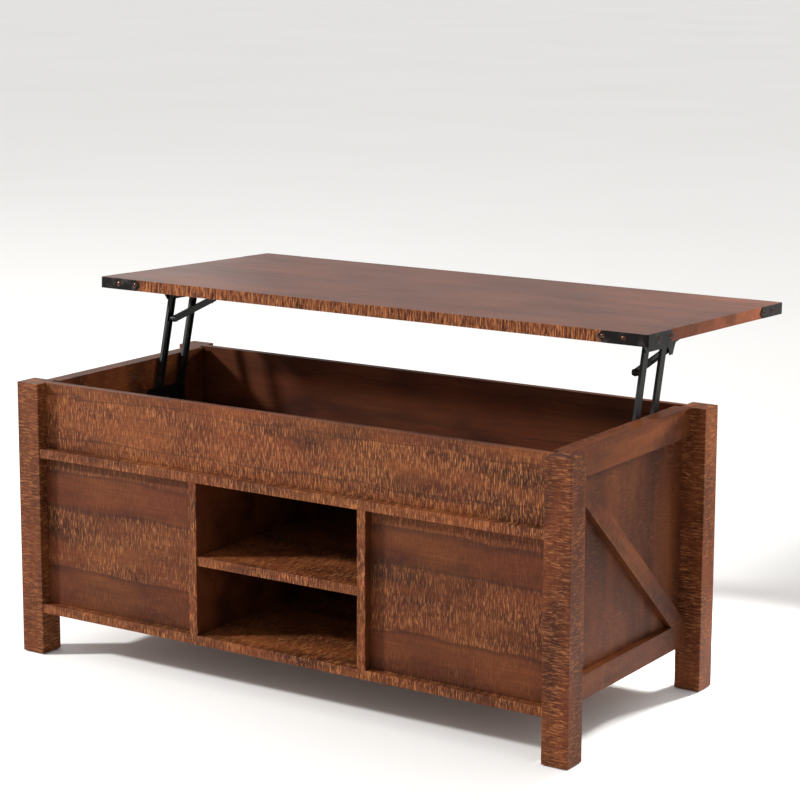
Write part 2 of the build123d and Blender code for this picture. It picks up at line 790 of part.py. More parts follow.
def make_lid_bracket(side, name):
    """Folded steel bracket under one end of the lid: flange, outer plate and inner lug."""
    lug_tip_z = -stay_stud_drop - lug_half_width
    outline = [
        (bracket_front, lid_above_pivot),
        (bracket_front, bracket_nose_z),
        (-bracket_margin, -bracket_margin),
        (pivot_spacing + bracket_margin, -bracket_margin),
        (bracket_rear, bracket_margin),
        (bracket_rear, lid_above_pivot),
    ]
    lug_outline = [
        (stay_stud_along - lug_front_reach, lid_above_pivot),
        (stay_stud_along - lug_half_width, -stay_stud_drop),
        (stay_stud_along - lug_tip_half_width, lug_tip_z),
        (stay_stud_along + lug_tip_half_width, lug_tip_z),
        (stay_stud_along + lug_half_width, -stay_stud_drop),
        (stay_stud_along + lug_rear_reach, lid_above_pivot),
    ]
    with BuildPart() as bracket:
        with BuildSketch(upright_plane(side * bracket_outer_x, front_top, raised_tilt)):
            with BuildLine():
                Polyline(*outline, close=True)
            make_face()
        extrude(amount=-side * bracket_sheet)
        with BuildSketch(upright_plane(side * bracket_outer_x, front_top, raised_tilt)):
            with Locations(((bracket_front + bracket_rear) / 2, lid_above_pivot - bracket_sheet / 2)):
                Rectangle(bracket_rear - bracket_front, bracket_sheet)
        extrude(amount=-side * (bracket_outer_x - bracket_inner_x))
        with BuildSketch(upright_plane(side * lug_x, front_top, raised_tilt)):
            with BuildLine():
                Polyline(*lug_outline, close=True)
            make_face()
        extrude(amount=-side * bracket_sheet)
        with BuildSketch(upright_plane(side * lug_x, front_top, raised_tilt)):
            with Locations((stay_stud_along, -stay_stud_drop)):
                Circle(stay_pin_radius)
        extrude(amount=-side * (lug_x - stay_outer_x - open_pivot_clearance))
        with BuildSketch(upright_plane(side * bracket_outer_x, front_top, raised_tilt)):
            with Locations((0, 0)):
                Circle(pin_radius + pin_clearance)
            with Locations((pivot_spacing, 0)):
                Circle(pin_radius + open_pivot_clearance)
        extrude(amount=-side * bracket_sheet, mode=Mode.SUBTRACT)
        with BuildSketch(lid_plane(0)):
            with Locations(*[(side * bracket_screw_x, y) for y in bracket_screw_y]):
                Circle(rail_screw_radius + hole_gap)
        extrude(amount=-bracket_sheet, mode=Mode.SUBTRACT)
    keep(bracket, name)


def make_bracket_screws():
    """Pan head screws that hold both brackets to the underside of the lid."""
    with BuildPart() as screws:
        for side in (-1, 1):
            places = [(side * bracket_screw_x, y) for y in bracket_screw_y]
            with BuildSketch(lid_plane(-bracket_sheet)):
                with Locations(*places):
                    Circle(rail_screw_radius)
            extrude(amount=bracket_sheet + bracket_screw_length - tip_gap)
            with BuildSketch(lid_plane(-bracket_sheet)):
                with Locations(*places):
                    Circle(rail_screw_head_radius)
            extrude(amount=-base_screw_head)
    keep(screws, "bracket_screws")


def make_front_top_pin(side, name):
    """Shouldered rivet in the bracket on which the top of the front arm turns."""
    with BuildPart() as pin:
        rivet(side, [front_top], bracket_outer_x, bracket_web_x, arm_outer_x + pin_head_gap)
        outer_head_end = bracket_outer_x + outer_head_height
        x_pegs([front_top], side * bracket_outer_x, side * outer_head_end, pin_head_radius)
    keep(pin, name)


def make_rear_top_pin(side, name):
    """Rivet fixed in the top of the rear arm, with play in its bracket hole."""
    with BuildPart() as pin:
        x_pegs([rear_top], side * bracket_outer_x, side * web_inner_x, pin_radius)
        x_pegs([rear_top], side * web_inner_x, side * (web_inner_x - pin_head_height), pin_head_radius)
    keep(pin, name)


def make_stay(side, name):
    """Flat bar with a blind track, which turns on the front arm and stops the raised lid."""
    length = stay_reach + stay_pin_radius + stay_end
    slot_start = stay_reach * stay_slot_start_share
    with BuildPart() as stay:
        with BuildSketch(upright_plane(side * stay_outer_x, stay_pin_place, stay_angle)):
            with Locations(((length - stay_width / 2) / 2, 0)):
                SlotCenterToCenter(length - stay_width / 2, stay_width)
            Circle(stay_pin_radius + pin_clearance, mode=Mode.SUBTRACT)
        extrude(amount=-side * stay_sheet)
        with BuildSketch(upright_plane(side * stay_outer_x, stay_pin_place, stay_angle)):
            with Locations(((slot_start + stay_reach) / 2, 0)):
                SlotCenterToCenter(stay_reach - slot_start, stay_slot_width)
        extrude(amount=-side * stay_slot_depth, mode=Mode.SUBTRACT)
    keep(stay, name)


def make_stay_pin(side, name):
    """Shouldered pin fixed in the front arm, carrying the stay inboard of it."""
    place = [stay_pin_place]
    with BuildPart() as pin:
        x_pegs(place, side * arm_outer_x, side * (stay_inner_x - pin_head_gap), stay_pin_radius)
        x_pegs(place, side * web_inner_x, side * (stay_outer_x + pin_head_gap), stay_boss_radius)
        head_start = stay_inner_x - pin_head_gap
        x_pegs(place, side * head_start, side * (head_start - stay_head_height), pin_head_radius)
    keep(pin, name)


# ---------------------------------------------------------------- make everything
for end, y_side in ends.items():
    for hand, x_side in sides.items():
        make_leg(x_side, y_side, f"leg_{end}_{hand}")
        make_corner_guard(x_side, y_side, f"corner_guard_{end}_{hand}")
    make_apron(y_side, f"{end}_apron")

make_main_board(bottom_board_z, "bottom_board")
make_main_board(floor_board_z, "compartment_floor")
make_shelf()
make_shelf_pegs()
make_back_panel()
make_foot_glides()

for hand, side in sides.items():
    make_divider(side, f"divider_{hand}")
    make_front_panel(side, f"front_panel_{hand}")
    make_side_panel(side, f"side_panel_{hand}")
    make_side_rail(
        side, top_rail_z, table_height, rail_dowel_z[1], top_rail_screws, f"side_top_rail_{hand}"
    )
    make_side_rail(
        side, side_bottom_z, bottom_rail_top, rail_dowel_z[0], bottom_rail_screws,
        f"side_bottom_rail_{hand}",
    )
    make_side_brace(side, f"side_brace_{hand}")
    make_base_plate(side, f"base_plate_{hand}")
    make_base_pins(side, f"base_pins_{hand}")
    make_lift_arm(
        side, front_pivot, raised_angle, arm_length, f"front_arm_{hand}", front_dimples, True
    )
    make_lift_arm(
        side, rear_pivot, rear_raised_angle, rear_arm_length, f"rear_arm_{hand}", rear_dimples, False
    )
    make_lid_bracket(side, f"lid_bracket_{hand}")
    make_front_top_pin(side, f"front_top_pin_{hand}")
    make_rear_top_pin(side, f"rear_top_pin_{hand}")
    make_stay(side, f"stay_{hand}")
    make_stay_pin(side, f"stay_pin_{hand}")

make_frame_dowels()
make_divider_dowels()
make_cam_locks()
make_cam_bolts()
make_rail_screws()
make_base_screws()
make_bracket_screws()
make_lid_board()
make_lid_bumpers()
make_corner_guard_screws()
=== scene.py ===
"""Finishes, screws and studio for a lift top coffee table, laid round its fixed CAD frame."""
import math

import bmesh
import bpy
import numpy as np
from mathutils import Matrix, Vector


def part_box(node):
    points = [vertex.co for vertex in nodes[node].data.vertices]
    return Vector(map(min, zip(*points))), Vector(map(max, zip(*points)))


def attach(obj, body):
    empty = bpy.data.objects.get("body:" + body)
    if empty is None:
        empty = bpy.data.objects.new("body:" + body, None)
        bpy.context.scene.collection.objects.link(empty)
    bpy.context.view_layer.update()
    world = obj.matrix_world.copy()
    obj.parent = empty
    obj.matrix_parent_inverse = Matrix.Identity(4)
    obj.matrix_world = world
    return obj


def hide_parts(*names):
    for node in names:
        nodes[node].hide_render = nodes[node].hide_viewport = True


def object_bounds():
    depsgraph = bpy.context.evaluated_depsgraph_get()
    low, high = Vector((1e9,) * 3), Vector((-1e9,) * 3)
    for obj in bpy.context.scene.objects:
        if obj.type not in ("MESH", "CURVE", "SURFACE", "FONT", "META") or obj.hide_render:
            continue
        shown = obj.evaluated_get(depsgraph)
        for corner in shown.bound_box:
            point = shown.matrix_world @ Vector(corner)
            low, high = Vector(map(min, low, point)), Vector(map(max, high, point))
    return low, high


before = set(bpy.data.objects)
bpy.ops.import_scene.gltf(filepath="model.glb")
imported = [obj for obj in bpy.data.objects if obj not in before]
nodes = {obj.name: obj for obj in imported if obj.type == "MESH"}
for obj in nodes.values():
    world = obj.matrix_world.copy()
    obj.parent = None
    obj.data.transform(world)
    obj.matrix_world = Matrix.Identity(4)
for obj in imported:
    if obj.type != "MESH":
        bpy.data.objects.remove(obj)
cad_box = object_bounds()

bl_info = {
    "name": "Lift Top Coffee Table",
    "version": (1, 0, 0),
    "blender": (4, 5, 0),
    "location": "View3D > Sidebar > Table",
    "description": "Finishes the boards, steel and screws of a lift top table and lights it",
    "category": "Object",
}

lid_tilt = math.radians(-1.7)
cabinet_low, cabinet_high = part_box("bottom_board")
cabinet_middle_y = (cabinet_low[1] + cabinet_high[1]) / 2

# Specular level of each dull face. A matt print or coat shines less than bare plastic.
cabinet_shine = 0.12
lid_shine = 0.08
coat_shine = 0.22
bare_metal_shine = 0.5


# ---------------------------------------------------------------- small helpers
def srgb(code):
    """Linear colour, with alpha, of an sRGB hex value."""
    parts = [int(code[i : i + 2], 16) / 255 for i in (1, 3, 5)]
    return tuple(c / 12.92 if c <= 0.04045 else ((c + 0.055) / 1.055) ** 2.4 for c in parts) + (1.0,)


def tint(name, description, code):
    """Colour property whose default is an sRGB hex value."""
    return bpy.props.FloatVectorProperty(
        name=name, description=description, subtype="COLOR", size=4, min=0, max=1, default=srgb(code)
    )


def length(name, description, millimetres):
    """Length property whose default is given in millimetres."""
    return bpy.props.FloatProperty(
        name=name, description=description, unit="LENGTH", subtype="DISTANCE", min=0,
        default=millimetres / 1000, precision=4,
    )


def share(name, description, value):
    """Property from 0 to 1."""
    return bpy.props.FloatProperty(
        name=name, description=description, subtype="FACTOR", min=0, max=1, default=value
    )


def add_node(tree, kind, settings=None, inputs=None):
    """Add a node, set its properties, and fill each input with a value or a link."""
    node = tree.nodes.new(kind)
    for key, value in (settings or {}).items():
        setattr(node, key, value)
    for key, value in (inputs or {}).items():
        if isinstance(value, bpy.types.NodeSocket):
            tree.links.new(value, node.inputs[key])
        else:
            node.inputs[key].default_value = value
    return node


def new_material(name):
    """Empty node material with its shader and output joined, and the object's coordinates."""
    material = bpy.data.materials.new(name)
    material.use_nodes = True
    tree = material.node_tree
    tree.nodes.clear()
    shader = add_node(tree, "ShaderNodeBsdfPrincipled")
    add_node(tree, "ShaderNodeOutputMaterial", inputs={"Surface": shader.outputs["BSDF"]})
    coordinates = add_node(tree, "ShaderNodeTexCoord").outputs["Object"]
    return material, tree, shader, coordinates


def cells(*sizes):
    """Scale that gives a pattern's cells these sizes in metres, one per axis."""
    return tuple(1 / size for size in sizes)


def stretched_noise(tree, vector, sizes, detail=2.0, roughness=0.5, distortion=0.0, shift=0.0):
    """Noise, 0 to 1, whose cells have the given size in metres along each axis."""
    scaled = add_node(
        tree, "ShaderNodeMapping", None,
        {"Vector": vector, "Scale": cells(*sizes), "Location": (shift, shift, shift)},
    )
    noise = add_node(
        tree, "ShaderNodeTexNoise", None,
        {
            "Vector": scaled.outputs["Vector"], "Scale": 1.0, "Detail": detail,
            "Roughness": roughness, "Distortion": distortion,
        },
    )
    return noise.outputs["Fac"]


def lay_over(tree, under, over, pattern, span=(0.0, 1.0), strength=(0.0, 1.0)):
    """Lay one colour or height over another.

    The strength goes from its first value to its second while the pattern crosses the span.
    """
    factor = add_node(
        tree, "ShaderNodeMapRange", None,
        {
            "Value": pattern, "From Min": span[0], "From Max": span[1],
            "To Min": strength[0], "To Max": strength[1],
        },
    ).outputs["Result"]
    mixed = add_node(tree, "ShaderNodeMix", {"data_type": "RGBA"}, {0: factor, 6: under, 7: over})
    return mixed.outputs[2]


def distance_in_y(tree, coordinates, middle):
    """How far a point is from a plane across Y, in metres."""
    place = add_node(tree, "ShaderNodeSeparateXYZ", None, {0: coordinates}).outputs["Y"]
    away = add_node(tree, "ShaderNodeMath", {"operation": "SUBTRACT"}, {0: place, 1: middle}).outputs[0]
    return add_node(tree, "ShaderNodeMath", {"operation": "ABSOLUTE"}, {0: away}).outputs[0]


def give_face(tree, shader, tone, pattern, roughness, relief=None, strength=0.0, depth=0.0):
    """Give a shader its colour, a roughness that follows a pattern, and a fine relief."""
    rough = add_node(
        tree, "ShaderNodeMapRange", None,
        {
            "Value": pattern, "From Min": 0.3, "From Max": 0.7,
            "To Min": roughness[0], "To Max": roughness[1],
        },
    ).outputs["Result"]
    tree.links.new(tone, shader.inputs["Base Color"])
    tree.links.new(rough, shader.inputs["Roughness"])
    if relief:
        bump = add_node(
            tree, "ShaderNodeBump", None, {"Height": relief, "Strength": strength, "Distance": depth}
        )
        tree.links.new(bump.outputs["Normal"], shader.inputs["Normal"])


def dress(names, material):
    """Give every named CAD node one material."""
    for name in names:
        slots = nodes[name].data.materials
        slots.clear()
        slots.append(material)


# ---------------------------------------------------------------- settings
class LaminateSettings(bpy.types.PropertyGroup):
    """Colours and print sizes of the wood-effect laminate."""

    # The deep tone is also the colour that the painted shade on sides and inner faces mixes towards.
    deep_tone: tint("Deep tone", "Darkest broad patches of the print", "#331609")
    warm_tone: tint("Warm tone", "Reddish brown that covers most of the print", "#632f17")
    amber_tone: tint("Amber tone", "Lighter orange patches of the print", "#7d4521")
    saw_light: tint("Saw mark light", "Raised fibres that catch the light", "#ad7044")
    saw_dark: tint("Saw mark dark", "Stain held in the saw marks", "#29130a")
    joint_tone: tint("Joint line", "Thin dark line between printed planks", "#2c160e")
    saw_width: length("Saw mark width", "Width of one saw mark along the grain", 1.6)
    saw_length: length("Saw mark length", "Length of one saw mark across the grain", 14.0)
    fibre_width: length("Fibre width", "Width of one wood fibre", 2.2)
    fibre_length: length("Fibre length", "Length of one wood fibre", 110.0)
    gloss: share("Roughness", "Roughness of the melamine face", 0.5)


class LidSettings(bpy.types.PropertyGroup):
    """Colours of the lid board's smoother print."""

    deep_tone: tint("Deep tone", "Darker drifts along the grain", "#3f2013")
    warm_tone: tint("Warm tone", "Brown that covers most of the lid", "#633522")
    pale_tone: tint("Pale tone", "Paler drifts along the grain", "#7a442c")
    gloss: share("Roughness", "Roughness of the lid's satin face", 0.4)


class SteelSettings(bpy.types.PropertyGroup):
    """Colours and screw sizes of the metal parts."""

    black_coat: tint("Black coat", "Powder coat of the lift mechanism", "#0d0d0d")
    worn_coat: tint("Worn coat", "Powder coat where it is rubbed thin", "#1d1c1b")
    bronze_dark: tint("Bronze dark", "Oxidised hollows of the corner guards", "#1f1d1d")
    bronze_light: tint("Bronze light", "Rubbed high spots of the corner guards", "#4b4441")
    copper: tint("Copper", "Antique copper plating of the guard screws", "#6d4a3e")
    copper_shade: tint("Copper shade", "Tarnish on the guard screws", "#2c1d18")
    zinc: tint("Zinc", "Zinc plating of the plain fasteners", "#b9bab5")
    zinc_shade: tint("Zinc shade", "Duller patches of the plating", "#8b8c8a")
    guard_head_radius: length("Guard screw radius", "Radius of a corner guard screw's head", 4.2)
    guard_head_height: length("Guard screw height", "Height of a corner guard screw's head", 1.6)
    pan_head_radius: length("Pan head radius", "Radius of a pan head screw", 4.0)
    pan_head_height: length("Pan head height", "Height of a pan head screw", 2.2)
    recess_share: share("Recess width", "Width of the cross recess as a share of the head", 0.17)


class StudioSettings(bpy.types.PropertyGroup):
    """Floor, light and camera."""

    floor_tone: tint("Floor", "Pale studio floor", "#efeeec")
    floor_drift: tint("Floor drift", "Slightly darker drifts of the floor", "#e8e7e4")
    sky_strength: bpy.props.FloatProperty(
        name="Surround", description="Strength of the white surround", min=0, default=0.9
    )
    key_power: bpy.props.FloatProperty(
        name="Key", description="Power of the lamp on the front left", unit="POWER", min=0, default=410
    )
    rim_power: bpy.props.FloatProperty(
        name="Rim", description="Power of the lamp at the right rear", unit="POWER", min=0, default=13
    )
    glow_power: bpy.props.FloatProperty(
        name="Glow", description="Power of the low lamp behind", unit="POWER", min=0, default=3
    )
    camera_azimuth: bpy.props.FloatProperty(
        name="Azimuth", description="Camera's turn round the table", subtype="ANGLE",
        default=math.radians(33.227),
    )
    camera_elevation: bpy.props.FloatProperty(
        name="Elevation", description="Camera's height above the horizon", subtype="ANGLE",
        default=math.radians(9.926),
    )
    camera_roll: bpy.props.FloatProperty(
        name="Roll", description="Camera's turn about its own line of sight", subtype="ANGLE",
        default=math.radians(0.154),
    )
    camera_lens: bpy.props.FloatProperty(
        name="Lens", description="Focal length on a 36 mm wide sensor", subtype="DISTANCE_CAMERA",
        default=106.9,
    )


settings_groups = {
    "table_laminate": LaminateSettings,
    "table_lid": LidSettings,
    "table_steel": SteelSettings,
    "table_studio": StudioSettings,
}


# ---------------------------------------------------------------- wood laminate
grain_turns = {
    "along_x": (0.0, 0.0, 0.0),
    "upright": (0.0, math.pi / 2, 0.0),
    "along_y": (0.0, 0.0, -math.pi / 2),
}
band_sway = 0.006  # metres a printed joint line strays up or down
joint_soft = 0.012  # softness of a printed joint line, as a share of the face's height


def printed_bands(tree, coordinates, low_z, high_z, stops):
    """Saw mark amount and joint line strength up a planked face, from (height share, amount)."""
    waves = stretched_noise(tree, coordinates, (0.14, 0.5, 0.02), detail=2.0)
    sway = add_node(
        tree, "ShaderNodeMapRange", None,
        {"Value": waves, "From Min": 0.3, "From Max": 0.7, "To Min": -band_sway, "To Max": band_sway},
    ).outputs["Result"]
    height = add_node(tree, "ShaderNodeSeparateXYZ", None, {0: coordinates}).outputs["Z"]
    swayed = add_node(tree, "ShaderNodeMath", {"operation": "ADD"}, {0: height, 1: sway}).outputs[0]
    level = add_node(
        tree, "ShaderNodeMapRange", None, {"Value": swayed, "From Min": low_z, "From Max": high_z}
    ).outputs["Result"]
    amount_ramp = add_node(tree, "ShaderNodeValToRGB", None, {"Fac": level})
    line_ramp = add_node(tree, "ShaderNodeValToRGB", None, {"Fac": level})
    amounts, lines = amount_ramp.color_ramp.elements, line_ramp.color_ramp.elements
    amounts[0].position, amounts[1].position = 0.0, 1.0
    amounts[0].color = (stops[0][1],) * 3 + (1.0,)
    amounts[1].color = (stops[-1][1],) * 3 + (1.0,)
    lines[0].position, lines[1].position = 0.0, 1.0
    lines[0].color = lines[1].color = (0.0, 0.0, 0.0, 1.0)
    for (place, amount), (_, before) in zip(stops[1:], stops[:-1]):
        amounts.new(place - joint_soft).color = (before,) * 3 + (1.0,)
        amounts.new(place + joint_soft).color = (amount,) * 3 + (1.0,)
        lines.new(place - 2 * joint_soft).color = (0.0, 0.0, 0.0, 1.0)
        lines.new(place).color = (1.0, 1.0, 1.0, 1.0)
        lines.new(place + joint_soft).color = (0.0, 0.0, 0.0, 1.0)
    return amount_ramp.outputs["Color"], line_ramp.outputs["Color"]


def outside_mask(tree, coordinates, reach):
    """1 further than a reach in Y from the cabinet's middle, and 0 nearer, with a sharp step."""
    distance = distance_in_y(tree, coordinates, cabinet_middle_y)
    return add_node(
        tree, "ShaderNodeMapRange", None,
        {"Value": distance, "From Min": reach - 0.0005, "From Max": reach + 0.0005},
    ).outputs["Result"]


def saw_marks(tree, tone, saw, amount, light, dark):
    """Print saw marks over a tone. Light and dark each give the pattern's span and the strength."""
    look = bpy.context.scene.table_laminate
    for colour, (low, high, strongest) in ((look.saw_light, light), (look.saw_dark, dark)):
        strength = add_node(tree, "ShaderNodeMath", {"operation": "MULTIPLY"}, {0: amount, 1: strongest})
        tone = lay_over(tree, tone, colour, saw, (low, high), (0.0, strength.outputs[0]))
    return tone


def laminate_material(name, turn, marks, bands=None, smooth_and_shaded_within=0.0, painted_shade=0.0):
    """Melamine laminate printed as rustic sawn wood, pressed on particle board.

    The eye sees a reddish brown print with amber drifts, fine fibres along the grain, and
    short pale and dark saw marks across it, under a satin melamine face.
    """
    look = bpy.context.scene.table_laminate
    material, tree, shader, coordinates = new_material(name)
    turned = add_node(tree, "ShaderNodeMapping", None, {"Vector": coordinates, "Rotation": turn})
    grain = turned.outputs["Vector"]

    drift = stretched_noise(tree, grain, (0.22, 0.05, 0.05), detail=3.0, distortion=0.4)
    amber = stretched_noise(tree, grain, (0.16, 0.06, 0.06), detail=2.0, shift=7.0)
    fibres = stretched_noise(
        tree, grain, (look.fibre_length, look.fibre_width, look.fibre_width),
        detail=3.0, roughness=0.6, distortion=0.5,
    )
    saw_cell = (look.saw_width, look.saw_length, look.saw_length)
    saw = stretched_noise(tree, grain, saw_cell, detail=2.5, roughness=0.6, distortion=0.8, shift=3.0)
    patches = stretched_noise(tree, grain, (0.09, 0.04, 0.04), detail=2.0, shift=11.0)
    amount = add_node(
        tree, "ShaderNodeMapRange", None,
        {"Value": patches, "From Min": 0.33, "From Max": 0.52, "To Min": 0.4 * marks, "To Max": marks},
    ).outputs["Result"]
    if bands:
        band_amount, joint = printed_bands(tree, coordinates, *bands)
        amount = add_node(
            tree, "ShaderNodeMath", {"operation": "MULTIPLY"}, {0: amount, 1: band_amount}
        ).outputs[0]
    if smooth_and_shaded_within:
        outside = outside_mask(tree, coordinates, smooth_and_shaded_within)
        amount = add_node(
            tree, "ShaderNodeMath", {"operation": "MULTIPLY"}, {0: amount, 1: outside}
        ).outputs[0]

    tone = lay_over(tree, look.deep_tone, look.warm_tone, drift, (0.36, 0.62))
    tone = lay_over(tree, tone, look.amber_tone, amber, (0.42, 0.66), (0.0, 0.55))
    tone = lay_over(tree, tone, look.deep_tone, fibres, (0.4, 0.62), (0.35, 0.0))
    tone = saw_marks(tree, tone, saw, amount, (0.5, 0.66, 0.8), (0.47, 0.33, 0.62))
    if bands:
        tone = lay_over(tree, tone, look.joint_tone, joint, strength=(0.0, 0.6))
    # Faces nearer the cabinet's middle than the reach, inside the compartments and cubbies, are darkened
    # halfway to the deep tone: painted shade.
    if smooth_and_shaded_within:
        tone = lay_over(tree, tone, look.deep_tone, outside, strength=(0.5, 0.0))
    # Mix part of the tone towards the deep tone: painted shade, stronger on the parts that take less of the
    # lamps' light, most of all the sides.
    if painted_shade:
        tone = add_node(
            tree, "ShaderNodeMix", {"data_type": "RGBA"}, {0: painted_shade, 6: tone, 7: look.deep_tone}
        ).outputs[2]
    relief = lay_over(tree, fibres, saw, amount)
    give_face(tree, shader, tone, saw, (look.gloss - 0.06, look.gloss + 0.12), relief, 0.35, 0.0006)
    shader.inputs["Specular IOR Level"].default_value = cabinet_shine
    return material


def panel_heights(name):
    """Lowest and highest Z of a CAD node."""
    low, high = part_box(name)
    return low[2], high[2]


class TABLE_OT_long_boards(bpy.types.Operator):
    """Finish the boards, aprons and panels whose grain runs along the table"""

    bl_idname = "table.long_boards"
    bl_label = "Long boards"

    def execute(self, context):
        boards = laminate_material("melamine_laminate_long_boards", grain_turns["along_x"], 0.9)
        dress(["bottom_board", "compartment_floor", "shelf"], boards)
        apron_bands = [(0.0, 1.0), (0.2, 0.9), (0.82, 0.55)]
        # The aprons' inner faces, inside the compartment, lose their saw marks and get painted shade.
        apron_low, apron_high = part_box("front_apron")
        reach = cabinet_middle_y - (apron_low[1] + apron_high[1]) / 2
        aprons = laminate_material(
            "melamine_laminate_aprons", grain_turns["along_x"], 1.0,
            (*panel_heights("front_apron"), apron_bands), reach,
        )
        dress(["front_apron", "rear_apron"], aprons)
        panel_bands = [(0.0, 0.25), (0.25, 1.0), (0.68, 0.2), (0.9, 0.7)]
        panels = laminate_material(
            "melamine_laminate_planked_panels", grain_turns["along_x"], 1.0,
            (*panel_heights("front_panel_left"), panel_bands), painted_shade=0.3,
        )
        dress(["front_panel_left", "front_panel_right", "back_panel"], panels)
        return {"FINISHED"}


class TABLE_OT_posts_and_sides(bpy.types.Operator):
    """Finish the posts, side panels, side rails and braces"""

    bl_idname = "table.posts_and_sides"
    bl_label = "Posts and sides"

    def execute(self, context):
        hands, ends = ("left", "right"), ("front", "rear")
        posts = laminate_material("melamine_laminate_posts", grain_turns["upright"], 0.8, painted_shade=0.25)
        dress([f"leg_{end}_{hand}" for end in ends for hand in hands], posts)
        # Divider faces behind their front edges are smooth and get painted shade, as the inside of the
        # cubbies is in shade.
        edge_wrap = 0.0015
        reach = cabinet_middle_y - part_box("divider_left")[0][1] - edge_wrap
        dividers = laminate_material(
            "melamine_laminate_dividers", grain_turns["along_x"], 0.9, smooth_and_shaded_within=reach
        )
        dress([f"divider_{hand}" for hand in hands], dividers)
        # The side panels, rails and braces get the most painted shade, as if they faced away from the
        # lamps.
        sides = laminate_material(
            "melamine_laminate_side_panels", grain_turns["upright"], 0.45, painted_shade=0.45
        )
        dress([f"side_panel_{hand}" for hand in hands], sides)
        rails = laminate_material(
            "melamine_laminate_side_rails", grain_turns["along_y"], 0.35, painted_shade=0.3
        )
        dress([f"side_{rail}_rail_{hand}" for rail in ("top", "bottom") for hand in hands], rails)
        low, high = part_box("side_brace_right")
        slope = math.atan2(high[2] - low[2], high[1] - low[1])
        braces = laminate_material(
            "melamine_laminate_braces", (slope, 0.0, -math.pi / 2), 0.4, painted_shade=0.3
        )
        dress([f"side_brace_{hand}" for hand in hands], braces)
        return {"FINISHED"}


# ---------------------------------------------------------------- lid
def lid_material():
    """Melamine laminate with a smoother print than the cabinet's, and a sawn print on its edges.

    The eye sees long soft drifts of grain and a satin sheen on top, and pale and dark saw
    marks across the long edges.
    """
    look, wood = bpy.context.scene.table_lid, bpy.context.scene.table_laminate
    low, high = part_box("lid_board")
    material, tree, shader, coordinates = new_material("melamine_laminate_lid")
    centre = [(a + b) / 2 for a, b in zip(low, high)]
    level = add_node(
        tree, "ShaderNodeVectorRotate", {"rotation_type": "X_AXIS"},
        {"Vector": coordinates, "Center": centre, "Angle": -lid_tilt},
    ).outputs["Vector"]

    drift = stretched_noise(tree, level, (0.34, 0.035, 0.035), detail=4.0, distortion=0.6)
    fibres = stretched_noise(
        tree, level, (wood.fibre_length, wood.fibre_width, wood.fibre_width), detail=3.0,
        roughness=0.6, distortion=0.6,
    )
    cloud = stretched_noise(tree, level, (0.2, 0.12, 0.12), detail=2.0, shift=5.0)
    saw_cell = (wood.saw_width, wood.saw_length, wood.saw_length)
    saw = stretched_noise(tree, level, saw_cell, detail=2.0, roughness=0.6, distortion=0.3)
    half_depth = (high[1] - low[1]) / 2
    on_edge = add_node(
        tree, "ShaderNodeMapRange", None,
        {
            "Value": distance_in_y(tree, level, centre[1]),
            "From Min": half_depth - 0.0015, "From Max": half_depth - 0.001,
        },
    ).outputs["Result"]
    amount = add_node(
        tree, "ShaderNodeMapRange", None, {"Value": on_edge, "To Min": 0.08, "To Max": 1.0}
    ).outputs["Result"]

    tone = lay_over(tree, look.deep_tone, look.warm_tone, drift, (0.36, 0.62), (0.35, 1.0))
    tone = lay_over(tree, tone, look.pale_tone, cloud, (0.42, 0.68), (0.0, 0.55))
    tone = lay_over(tree, tone, look.deep_tone, fibres, (0.38, 0.6), (0.45, 0.0))
    tone = lay_over(tree, tone, wood.amber_tone, on_edge, strength=(0.0, 0.2))
    tone = saw_marks(tree, tone, saw, amount, (0.5, 0.64, 0.7), (0.47, 0.35, 1.0))
    relief = lay_over(tree, fibres, saw, amount)
    give_face(tree, shader, tone, fibres, (look.gloss - 0.05, look.gloss + 0.08), relief, 0.2, 0.0004)
    shader.inputs["Specular IOR Level"].default_value = lid_shine
    return material


class TABLE_OT_lid(bpy.types.Operator):
    """Finish the lid board"""

    bl_idname = "table.lid"
    bl_label = "Lid board"

    def execute(self, context):
        dress(["lid_board"], lid_material())
        return {"FINISHED"}


# ---------------------------------------------------------------- metal finishes
def powder_coat(name, base, worn, grit, metallic, roughness):
    """Baked powder coat on pressed steel.

    The eye sees a near black skin with a faint orange peel and slightly lighter rubbed
    patches that soften the highlights.
    """
    material, tree, shader, coordinates = new_material(name)
    peel = stretched_noise(tree, coordinates, (grit, grit, grit), detail=2.0)
    rub = stretched_noise(tree, coordinates, (0.02, 0.02, 0.02), detail=3.0, roughness=0.6)
    tone = lay_over(tree, base, worn, rub, (0.5, 0.72))
    give_face(tree, shader, tone, rub, (roughness - 0.08, roughness + 0.08), peel, 0.3, 0.0002)
    shader.inputs["Metallic"].default_value = metallic
    shader.inputs["Specular IOR Level"].default_value = bare_metal_shine if metallic else coat_shine
    return material


def plated_steel(name, bright, dull, cell, span, roughness):
    """Metal plating on steel: a bright colour that turns dull in patches of one cell size."""
    material, tree, shader, coordinates = new_material(name)
    patches = stretched_noise(tree, coordinates, (cell, cell, cell), detail=3.0)
    give_face(tree, shader, lay_over(tree, bright, dull, patches, span), patches, roughness)
    shader.inputs["Metallic"].default_value = 1.0
    return material


def copper_plate(name):
    """Antique copper plating on the guard screws.

    The eye sees a reddish metal, tarnished dark in its hollows, with sharp small glints.
    """
    look = bpy.context.scene.table_steel
    return plated_steel(name, look.copper, look.copper_shade, 0.002, (0.4, 0.65), (0.16, 0.34))


def zinc_plate(name):
    """Bright zinc plating on small steel fasteners.

    The eye sees a pale grey metal with cloudy duller patches, as barrel plating leaves.
    """
    look = bpy.context.scene.table_steel
    return plated_steel(name, look.zinc, look.zinc_shade, 0.003, (0.35, 0.65), (0.26, 0.42))


